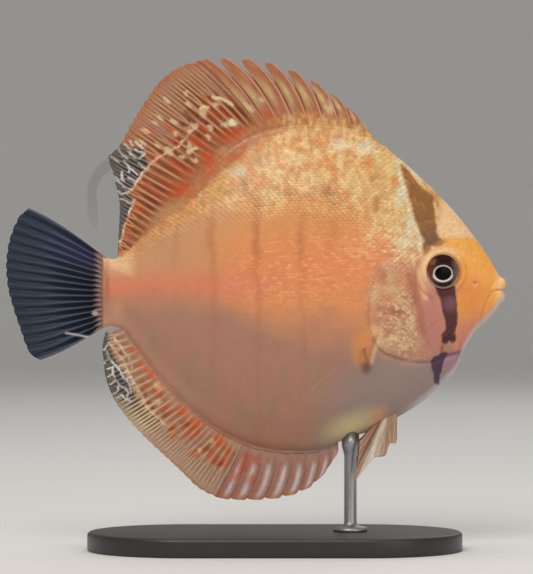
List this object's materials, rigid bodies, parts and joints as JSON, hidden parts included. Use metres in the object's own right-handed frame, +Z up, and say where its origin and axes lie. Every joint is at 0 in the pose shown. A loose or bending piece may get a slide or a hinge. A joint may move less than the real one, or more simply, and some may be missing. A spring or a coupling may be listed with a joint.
{
  "type": "discus fish, life-size model on a display stand",
  "caption": "Life-size discus fish with an orange, cream and lavender body, held by one rod on a plain oval base.",
  "frame": {"origin": "bottom centre of the whole model, on the floor under the base", "axes": "+X towards the snout, +Z up through the back, +Y towards the fish's left side"},
  "size_m": [0.16, 0.064, 0.1573],
  "materials": {
    "skin": "wet satin, scaled",
    "fins": "satin, ribbed, thin at the edges",
    "tail_fin": "satin, ribbed, half clear",
    "eyes": "wet gloss",
    "stand_base": "fine satin",
    "stand_rod": "brushed"
  },
  "bodies": {
    "root": {"head": "skin", "lower_jaw": "skin", "gill_cover_right": "skin", "gill_cover_left": "skin", "trunk": "skin", "tail_base": "skin", "dorsal_fin_spiny": "fins", "dorsal_fin_soft": "fins", "anal_fin_spiny": "fins", "anal_fin_soft": "fins", "pectoral_fin_right": "fins", "pectoral_fin_left": "fins", "pelvic_fin_right": "fins", "pelvic_fin_left": "fins", "caudal_fin": "tail_fin", "eye_right": "eyes", "eye_left": "eyes", "stand_base": "stand_base", "stand_rod": "stand_rod"}
  },
  "joints": []
}
